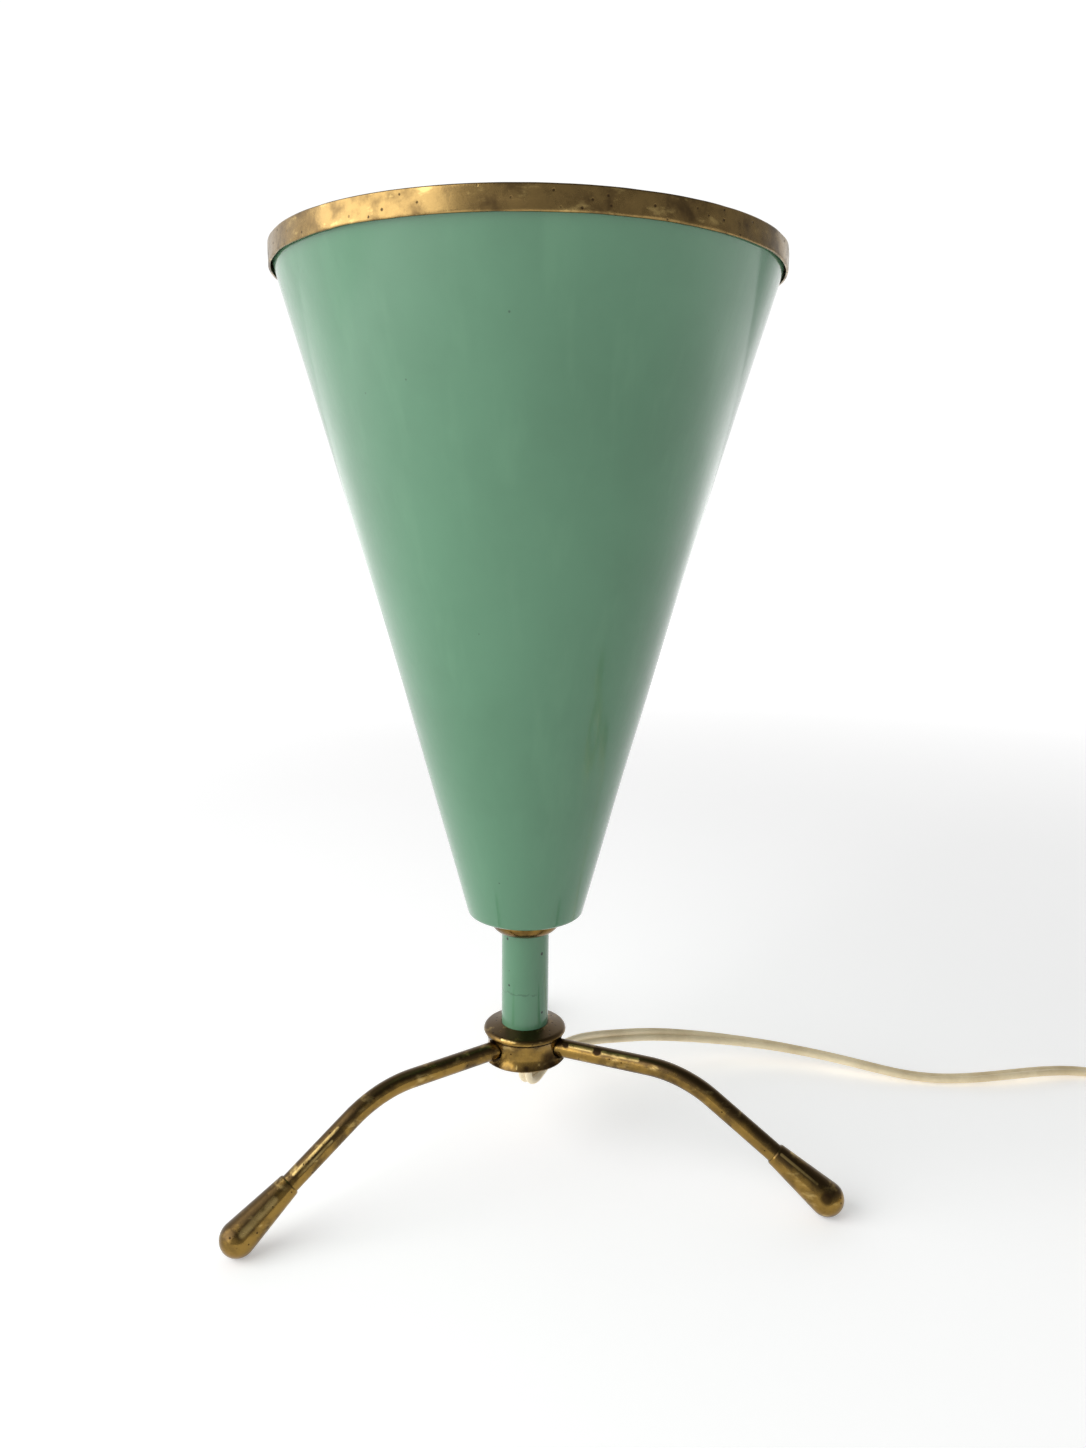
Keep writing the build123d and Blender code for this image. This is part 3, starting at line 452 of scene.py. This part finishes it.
shade_out, shade_in = shade_outline()
shade = lathe(
    "shade",
    shade_out + shade_in,
    around=288,
    shape=shade_shape,
    slot_of=lambda ring: 0 if ring < len(shade_out) else 1,
)
shade_paint = lacquer("green_lacquer", GREEN, GREEN_DARK, GREEN_PALE, [
    ((-10.0, -30.0, 150.0), 0.35),
    ((41.0, -46.0, 268.0), 0.5),
    ((15.0, -35.0, 192.0), 0.45),
    ((78.0, -42.0, 344.0), 0.6),
])
white_paint = moulded("white_enamel", srgb(236, 232, 220), srgb(216, 208, 190), 0.35)
dress(shade, [shade_paint, white_paint], "lamp", ["shade_cone"])

BAND_WALL = 0.8
BAND_ROUND = 0.7
BAND_LIP = 3.7
BAND_WIDTH = 4.4


def band_outline():
    """The channel's section, a closed loop."""
    outer, inner = band_high.x, band_high.x - BAND_WIDTH
    top, foot = band_high.z, band_low.z
    loop = [(outer - BAND_WALL, foot + 0.1), (outer - BAND_WALL * 0.5, foot), (outer - 0.12, foot + 0.12)]
    loop += [(outer, foot + 0.4 + step * (top - foot - BAND_ROUND - 0.4) / 10) for step in range(11)]
    loop += arc_points((outer - BAND_ROUND, top - BAND_ROUND), BAND_ROUND, 15.0, 90.0, 5)
    loop += arc_points((inner + BAND_ROUND, top - BAND_ROUND), BAND_ROUND, 90.0, 180.0, 6)
    loop += [(inner, top - BAND_LIP), (inner + BAND_WALL, top - BAND_LIP)]
    loop += [(inner + BAND_WALL, top - BAND_WALL), (outer - BAND_WALL, top - BAND_WALL)]
    return loop


def band_shape(angle, radius, height):
    """Small dents and a slightly wavy lower edge."""
    place = (6.0 * math.cos(angle), 6.0 * math.sin(angle), height * 0.12)
    dent = min(0.0, wobble(place, 1.7, 0.34, 7.0))
    low = max(0.0, 1.0 - (height - band_low.z) / 2.0)
    return radius + dent, height + low * max(0.0, wobble(place, 1.1, 0.35, 11.0))


band = lathe("rim_band", band_outline(), around=360, shape=band_shape)
band_metal = brass("band_brass", srgb(146, 120, 74), srgb(90, 72, 46), PALE, pit_scale=330.0, shine=0.22)
dress(band, [band_metal], "lamp", ["shade_rim_band"])

# --- CAD pieces that keep their shape --------------------------------------------------------

stem_paint = lacquer("stem_lacquer", srgb(84, 130, 99), GREEN_DARK, GREEN_PALE, [
    ((-8.3, -6.0, 98.0), 0.45),
    ((6.3, -8.0, 91.4), 0.5),
    ((-7.6, -6.8, 77.1), 0.35),
    ((6.6, -7.8, 64.4), 0.4),
], crack_at=73.5)


LEG_AZIMUTHS = {"left": -150.0, "right": -30.0}
LEG_SLOPE = math.radians(34.0)
LEG_H = 48.0
BEND_START, BEND_R = 57.0, 50.0
BEND_END_OUT = BEND_START + BEND_R * math.sin(LEG_SLOPE)
BEND_END_H = LEG_H - BEND_R * (1 - math.cos(LEG_SLOPE))


def on_leg(side, out, radius, forward):
    """A point on a leg's surface, out from the lamp's axis; forward is 0 on top and 90 at its front side."""
    angle, turn = math.radians(LEG_AZIMUTHS[side]), math.radians(forward)
    bent = out > BEND_END_OUT
    slope = LEG_SLOPE if bent else 0.0
    height = BEND_END_H - (out - BEND_END_OUT) * math.tan(LEG_SLOPE) if bent else LEG_H
    lean = radius * math.cos(turn)
    outward = out + lean * math.sin(slope)
    aside = radius * math.sin(turn)
    sign = -1 if side == "right" else 1
    across = (sign * -math.sin(angle), sign * math.cos(angle))
    return (
        outward * math.cos(angle) + aside * across[0],
        outward * math.sin(angle) + aside * across[1],
        height + lean * math.cos(slope),
    )


# These brasses brown faces that look up for dust and a painted dark reflection, brown faces that look down as
# painted shade, and paint pale highlights along streaks.
turned = brass("turned_brass", GOLD, BROWN, PALE, dust_and_shade=0.16, glint_streaks=[
    (on_leg("right", 113.0, 4.9, 42.0), on_leg("right", 127.0, 6.8, 42.0), 0.35, 0.5),
    (on_leg("left", 118.0, 5.6, 52.0), on_leg("left", 131.0, 7.0, 52.0), 0.5, 1.4),
], spots=[(on_leg("right", 132.0, 7.0, 60.0), 1.4, 2.0)])
hub_metal = brass("hub_brass", GOLD, BROWN, PALE, dust_and_shade=0.16, glint_streaks=[
    ((-11.2, -13.2, 55.4), (-6.0, -16.3, 55.2), 0.25, 0.5),
    ((-5.2, -16.6, 43.2), (-5.2, -16.0, 48.0), 0.15, 0.4),
    ((4.6, -16.8, 44.6), (4.8, -16.8, 45.6), 0.3, 0.6),
], spots=[((9.6, -14.4, 46.0), 1.6, 3.6), ((-1.0, -17.0, 43.4), 0.5, 1.4)])
# A darker copy of the brass for the collar, which sits under the shade: painted shade.
shaded_collar_brass = brass("collar_brass_painted_shade", srgb(134, 104, 52), srgb(66, 52, 32), GOLD)
ROD_R = 3.9
# Two worn notches, drawn as dark marks in place of cuts: painted shade of the recesses
NOTCHES = [(on_leg("right", out, ROD_R, 40.0), radius, 0.8) for out, radius in ((20.6, 0.9), (35.0, 1.4))]
rod_metal = brass("rod_brass", GOLD, BROWN, PALE, dust_and_shade=0.20, spots=NOTCHES, glint_streaks=[
    (on_leg("right", 22.5, ROD_R, 38.0), on_leg("right", 32.5, ROD_R, 38.0), 0.4, 0.8),
    (on_leg("right", 37.5, ROD_R, 38.0), on_leg("right", 53.0, ROD_R, 38.0), 0.4, 0.9),
    (on_leg("left", 90.0, ROD_R, 30.0), on_leg("left", 109.0, ROD_R, 30.0), 0.25, 0.6),
    (on_leg("left", 94.0, ROD_R, 58.0), on_leg("left", 108.0, ROD_R, 58.0), 0.15, 0.5),
], grain=(30.0, 30.0, 30.0))
steel = plated("zinc_steel", srgb(188, 188, 184), srgb(140, 136, 128), 0.34)
nickel = plated("nickel_plate", srgb(214, 208, 196), srgb(176, 166, 146), 0.24)
alloy = plated("cap_alloy", srgb(206, 206, 204), srgb(170, 170, 168), 0.30)
wire = plated("lamp_wire", srgb(90, 90, 94), srgb(60, 58, 58), 0.4)
bakelite = moulded("brown_bakelite", srgb(52, 34, 26), srgb(34, 22, 17), 0.28, coat=0.3)
porcelain = moulded("glazed_porcelain", srgb(236, 233, 224), srgb(220, 214, 200), 0.18, coat=0.5)
vitrite = moulded("black_vitrite", srgb(18, 18, 20), srgb(30, 28, 30), 0.15)
sheath = moulded("cream_sheath", CREAM, srgb(216, 196, 156), 0.42, grain=900.0)
core_sheath = moulded("brown_core", srgb(96, 62, 42), srgb(70, 44, 30), 0.4)
moulding = moulded("cream_moulding", srgb(222, 208, 178), srgb(204, 188, 154), 0.32, coat=0.2)
key_moulding = moulded("cream_key", srgb(210, 194, 160), srgb(190, 172, 138), 0.30, coat=0.2)
ring_metal = plated("ring_steel", srgb(150, 142, 128), srgb(96, 86, 72), 0.38)


def glass_like(name, tint, rough, see_through):
    """Frosted or clear lamp glass, with the faint unevenness of blown glass."""
    made = Shader(name, Transmission_Weight=see_through, IOR=1.46)
    tone = made.noise(30.0, 3.0, 0.5)
    made.link(made.mix(made.ramp(tone, 0.3, 0.8), tint, srgb(226, 228, 222)), "Base Color")
    made.link(made.ramp(tone, 0.2, 0.8, rough, rough + 0.08), "Roughness")
    made.bump(made.noise(90.0, 2.0, 0.5), 0.08, 0.0003)
    return made.material


frosted = glass_like("frosted_glass", srgb(246, 245, 238), 0.38, 0.45)
clear = glass_like("clear_glass", srgb(250, 250, 248), 0.03, 0.95)

FINISHES = {
    shaded_collar_brass: "shade_collar",
    hub_metal: "hub_body hub_cap",
    turned: "foot_left foot_right foot_rear",
    rod_metal: "leg_rod_left leg_rod_right leg_rod_rear",
    stem_paint: "stem_tube",
    ring_metal: "leg_lock_rings",
    steel: "shade_washer shade_nut lamp_pipe hub_washer hub_nut switch_screws switch_pin plug_screw",
    nickel: "holder_terminal_screws holder_thread_sleeve holder_contact_tongue bulb_contact "
            "switch_contacts plug_pins",
    alloy: "bulb_cap",
    wire: "bulb_leads bulb_filament",
    bakelite: "cord_bush holder_cap holder_shell",
    porcelain: "holder_core",
    vitrite: "bulb_insulator",
    frosted: "bulb_glass",
    clear: "bulb_mount",
    sheath: "inner_flex",
    core_sheath: "holder_cores plug_cores",
    moulding: "switch_base switch_cover plug_base plug_cover",
    key_moulding: "switch_rocker",
}
for finish, names in FINISHES.items():
    for name in names.split():
        nodes[name].data.materials.clear()
        nodes[name].data.materials.append(finish)

# --- Flex ------------------------------------------------------------------------------------

FLEX_WIDTH = 6.4
FLEX_THICKNESS = 3.2
FLEX_R = FLEX_THICKNESS / math.sqrt(2)
FLOOR_Z = FLEX_R
FLEX_EXIT_H = 38.8
SWITCH_X, SWITCH_Y, SWITCH_LENGTH, SWITCH_PARTING = 315.0, -52.0, 60.0, 7.5
PLUG_X, PLUG_ENTRY_Y, PLUG_H = 315.0, -170.0, 16.0

# The route's points, as the CAD model has them
RUN_POINTS = [
    (0.0, 0.0, FLEX_EXIT_H), (0.0, 0.0, 34.0), (0.8, 0.9, 28.6), (3.9, 5.4, 25.8), (9.5, 14.1, 27.6),
    (17.2, 24.8, 28.4), (26.5, 36.2, 27.2), (37.9, 44.3, 24.8), (52.5, 50.6, 22.0), (70.2, 55.9, 19.4),
    (90.8, 59.4, 15.6), (112.0, 60.2, 12.0), (132.8, 57.3, 9.4), (151.2, 51.2, 7.6), (167.5, 43.6, 6.2),
    (181.9, 36.5, 4.6), (195.4, 31.3, 3.0), (210.1, 27.7, FLOOR_Z), (226.9, 25.2, 3.1), (244.8, 24.6, 4.2),
    (262.9, 26.2, 4.2), (280.1, 27.4, 3.1), (294.5, 24.2, FLOOR_Z), (305.2, 14.4, FLOOR_Z),
    (311.8, 1.2, 3.6), (314.6, -12.2, 6.6),
    (SWITCH_X, SWITCH_Y + SWITCH_LENGTH / 2 - 3.0, SWITCH_PARTING),
]
LINK_POINTS = [
    (SWITCH_X, SWITCH_Y - SWITCH_LENGTH / 2 + 3.0, SWITCH_PARTING),
    (314.8, -90.0, 6.3), (314.2, -102.0, 4.4), (313.4, -113.0, 4.0), (313.0, -122.0, 4.4),
]
TAIL_POINTS = [
    (313.0, -132.0, 10.2), (313.3, -143.0, 9.9), (314.3, -156.0, 8.8),
    (PLUG_X, PLUG_ENTRY_Y - 2.0, PLUG_H / 2),
]
COIL_CENTRE = (275.0, -128.0)
COIL_OUTER_R = 39.4
COIL_INNER_R = 29.4
COIL_LOW_Z = 3.6
COIL_HIGH_Z = 10.35
COIL_TURNS = 6
COIL_STEPS = 16


def coil_points():
    """Two layers of turns, wound inwards on the floor and outwards on top."""
    enter = math.atan2(LINK_POINTS[-1][1] - COIL_CENTRE[1], LINK_POINTS[-1][0] - COIL_CENTRE[0])
    leave = math.atan2(TAIL_POINTS[0][1] - COIL_CENTRE[1], TAIL_POINTS[0][0] - COIL_CENTRE[0])
    whole = enter - leave + 2 * math.pi * COIL_TURNS
    count = COIL_TURNS * COIL_STEPS
    found = []
    for index in range(1, count):
        t = index / count
        angle = enter - whole * t
        inward = 1 - abs(2 * t - 1)
        radius = COIL_OUTER_R + (COIL_INNER_R - COIL_OUTER_R) * inward
        radius -= 0.9 * max(0.0, 1 - index / 4, 1 - (count - index) / 4)
        climb = max(0.0, min(1.0, (t - 0.5) * COIL_TURNS * 1.6 + 0.5))
        climb = climb * climb * (3 - 2 * climb)
        height = COIL_LOW_Z + (COIL_HIGH_Z - COIL_LOW_Z) * climb
        place = (math.cos(angle), math.sin(angle), t * 9.0)
        radius += wobble(place, 1.4, 0.35, 5.0)
        x = COIL_CENTRE[0] + radius * math.cos(angle)
        y = COIL_CENTRE[1] + radius * math.sin(angle)
        found.append((x, y, height))
    return found


def smooth_line(points):
    """The line of a NURBS spline that has these points as its control points, in mm."""
    curve = bpy.data.curves.new("route", "CURVE")
    curve.dimensions = "3D"
    curve.resolution_u = 10
    spline = curve.splines.new("NURBS")
    spline.points.add(len(points) - 1)
    for control, point in zip(spline.points, points):
        control.co = (*(Vector(point) * MM), 1.0)
    spline.order_u = 3
    spline.use_endpoint_u = True
    holder = bpy.data.objects.new("route", curve)
    bpy.context.scene.collection.objects.link(holder)
    bpy.context.view_layer.update()
    mesh = bpy.data.meshes.new_from_object(holder)
    line = [vertex.co / MM for vertex in mesh.vertices]
    bpy.data.objects.remove(holder)
    bpy.data.meshes.remove(mesh)
    return line


def twin_section():
    """Two round cores side by side with a groove between them, as (across, up) points."""
    core = FLEX_THICKNESS / 2
    right = arc_points((FLEX_WIDTH / 2 - core, 0.0), core, -126.0, 126.0, 14)
    groove = core * 0.46
    left = [(-x, -y) for x, y in right]
    return right + [(0.0, groove)] + left + [(0.0, -groove)]


def ease(value, low, high):
    """A smooth step from 0 at low to 1 at high."""
    t = max(0.0, min(1.0, (value - low) / (high - low)))
    return t * t * (3 - 2 * t)


route = RUN_POINTS + LINK_POINTS + coil_points() + TAIL_POINTS
line = smooth_line(route)
walked = [0.0]
for before, here in zip(line, line[1:]):
    walked.append(walked[-1] + (here - before).length)
section = twin_section()
EXIT_HEADING = Vector((0.56, 0.83, 0.0)).normalized()
LINK_AT = 440.0
RUN_EDGE = -72.0
COIL_EDGE = 90.0


def flex_up(index):
    """Upright once the flex is level; towards its heading while it still drops out of the hub."""
    share = ease(walked[index], 2.0, 16.0)
    return EXIT_HEADING * (1 - share) + Vector((0, 0, 1)) * share


def flex_roll(index):
    """On edge behind the hub, flat along the floor and in the switch, on edge in the coil."""
    at = walked[index]
    left_over = walked[-1] - at
    edge = RUN_EDGE * (1 - ease(at, 62.0, 190.0)) * ease(at, 10.0, 34.0)
    edge += COIL_EDGE * ease(at, LINK_AT, LINK_AT + 45.0) * ease(left_over, 6.0, 40.0)
    return math.radians(edge)


FLEX_NODES = ["cord_run", "cord_link", "cord_tail", "cord_coil", "switch_flex"]
flex = sweep("flex", line, section, flex_roll, flex_up)
dress(flex, [sheath], "lamp", FLEX_NODES)

TIE_ANGLE = 205.0
TIE_HALF_LENGTH = 2.0
TIE_THICKNESS = 0.45
TIE_EDGE = TIE_HALF_LENGTH - 0.1
TIE_SECTION = [
    (-TIE_HALF_LENGTH, 0.0), (-TIE_EDGE, TIE_THICKNESS), (TIE_EDGE, TIE_THICKNESS), (TIE_HALF_LENGTH, 0.0),
]
tie_out = Vector((math.cos(math.radians(TIE_ANGLE)), math.sin(math.radians(TIE_ANGLE)), 0.0))
tie_mid = (COIL_OUTER_R + COIL_INNER_R) / 2
tie_half_w = (COIL_OUTER_R - COIL_INNER_R) / 2 + 2.0
tie_low, tie_high, tie_corner = 0.25, 13.8, 2.4
tie_loop = []
for sign_x, sign_z, start in ((1, 1, 0.0), (-1, 1, 90.0), (-1, -1, 180.0), (1, -1, 270.0)):
    corner_x = sign_x * (tie_half_w - tie_corner)
    corner_z = (tie_high if sign_z > 0 else tie_low) - sign_z * tie_corner
    tie_loop += arc_points((corner_x, corner_z), tie_corner, start, start + 90.0, 6)
tie_points = []
tie_side = Vector((-tie_out.y, tie_out.x, 0.0))
for x, z in tie_loop:
    outward = Vector((x, z - (tie_low + tie_high) / 2)).normalized()
    for along, thick in TIE_SECTION:
        flat = tie_out * (tie_mid + x + outward.x * (thick - TIE_THICKNESS)) + tie_side * along
        base = Vector((COIL_CENTRE[0], COIL_CENTRE[1], z + outward.y * (thick - TIE_THICKNESS)))
        tie_points.append(base + flat)
tie_faces, tie_uvs = grid_faces(len(tie_loop), 4, True)
tie = dress(add_mesh("coil_tie", tie_points, tie_faces, tie_uvs), [moulding], "lamp")

# --- Floor, light and background -------------------------------------------------------------

paper = Shader("floor_paper", Roughness=0.8, Emission_Strength=1.0, Specular_IOR_Level=0.1)
paper_cloud = paper.ramp(paper.noise(2.0, 4.0, 0.5), 0.3, 0.8)
paper_tone = paper.mix(paper_cloud, (0.93, 0.93, 0.93, 1), (0.9, 0.9, 0.9, 1))
paper.link(paper_tone, "Base Color")
far = paper.vector("LENGTH", {0: paper.place}, "Value")
# The floor gives off more light with distance from the lamp, so it stays pale into the distance
glow = paper.ramp(far, 0.5, 2.6, 0.30, 0.98)
paper.link(glow, "Emission Color")
paper.bump(paper.noise(300.0, 3.0, 0.6), 0.04, 0.0002)
FLOOR_HALF = 12000.0
floor_corners = [(x * FLOOR_HALF, y * FLOOR_HALF, 0) for x, y in ((-1, -1), (1, -1), (1, 1), (-1, 1))]
floor = add_mesh("floor", floor_corners, [(0, 1, 2, 3)])
floor.data.materials.append(paper.material)

world = bpy.data.worlds.new("studio")
bpy.context.scene.world = world
world.use_nodes = True
sky = world.node_tree
direction = sky.nodes.new("ShaderNodeTexCoord").outputs["Generated"]
split = sky.nodes.new("ShaderNodeSeparateXYZ")
sky.links.new(direction, split.inputs[0])
heading = sky.nodes.new("ShaderNodeMath")
heading.operation = "ARCTAN2"
sky.links.new(split.outputs["X"], heading.inputs[0])
sky.links.new(split.outputs["Y"], heading.inputs[1])
turn = sky.nodes.new("ShaderNodeMath")
turn.operation = "MULTIPLY_ADD"
sky.links.new(heading.outputs[0], turn.inputs[0])
turn.inputs[1].default_value = 1 / (2 * math.pi)
turn.inputs[2].default_value = 0.5
walls = sky.nodes.new("ShaderNodeValToRGB")
sky.links.new(turn.outputs[0], walls.inputs[0])
# Brightness of the room by heading from +Y, clockwise seen from above: brightest on the left, dim on
# the right and in front
ROOM = [(-180, 0.42), (-140, 0.65), (-110, 1.5), (-70, 1.5), (-45, 1.04), (40, 1.04), (60, 0.36), (180, 0.36)]
walls.color_ramp.elements[0].position = 0.0
walls.color_ramp.elements[1].position = 1.0
for heading_deg, _ in ROOM[1:-1]:
    walls.color_ramp.elements.new(heading_deg / 360 + 0.5)
for index, (_, level) in enumerate(ROOM):
    walls.color_ramp.elements[index].color = (level, level, level, 1)
ceiling = sky.nodes.new("ShaderNodeMapRange")
ceiling.interpolation_type = "SMOOTHSTEP"
sky.links.new(split.outputs["Z"], ceiling.inputs["Value"])
for socket, value in zip(("From Min", "From Max", "To Min", "To Max"), (0.46, 0.80, 1.0, 0.30)):
    ceiling.inputs[socket].default_value = value
shade_off = sky.nodes.new("ShaderNodeVectorMath")
shade_off.operation = "SCALE"
sky.links.new(walls.outputs[0], shade_off.inputs[0])
sky.links.new(ceiling.outputs[0], shade_off.inputs["Scale"])
background = sky.nodes["Background"]
sky.links.new(shade_off.outputs[0], background.inputs["Color"])
background.inputs["Strength"].default_value = 1.0

KEY_AT = Vector((-1.3, -0.45, 0.9))
KEY_AIM = Vector((0, 0, 0.18))
key_data = bpy.data.lights.new("key", "AREA")
key_data.shape = "RECTANGLE"
key_data.size = 1.8
key_data.size_y = 1.5
key_data.energy = 21.0
key_data.color = (1, 1, 1)
key = bpy.data.objects.new("key", key_data)
bpy.context.scene.collection.objects.link(key)
key.location = KEY_AT
key.rotation_euler = (KEY_AIM - KEY_AT).to_track_quat("-Z", "Y").to_euler()

bpy.context.scene.view_settings.view_transform = "Standard"
bpy.context.scene.view_settings.look = "None"
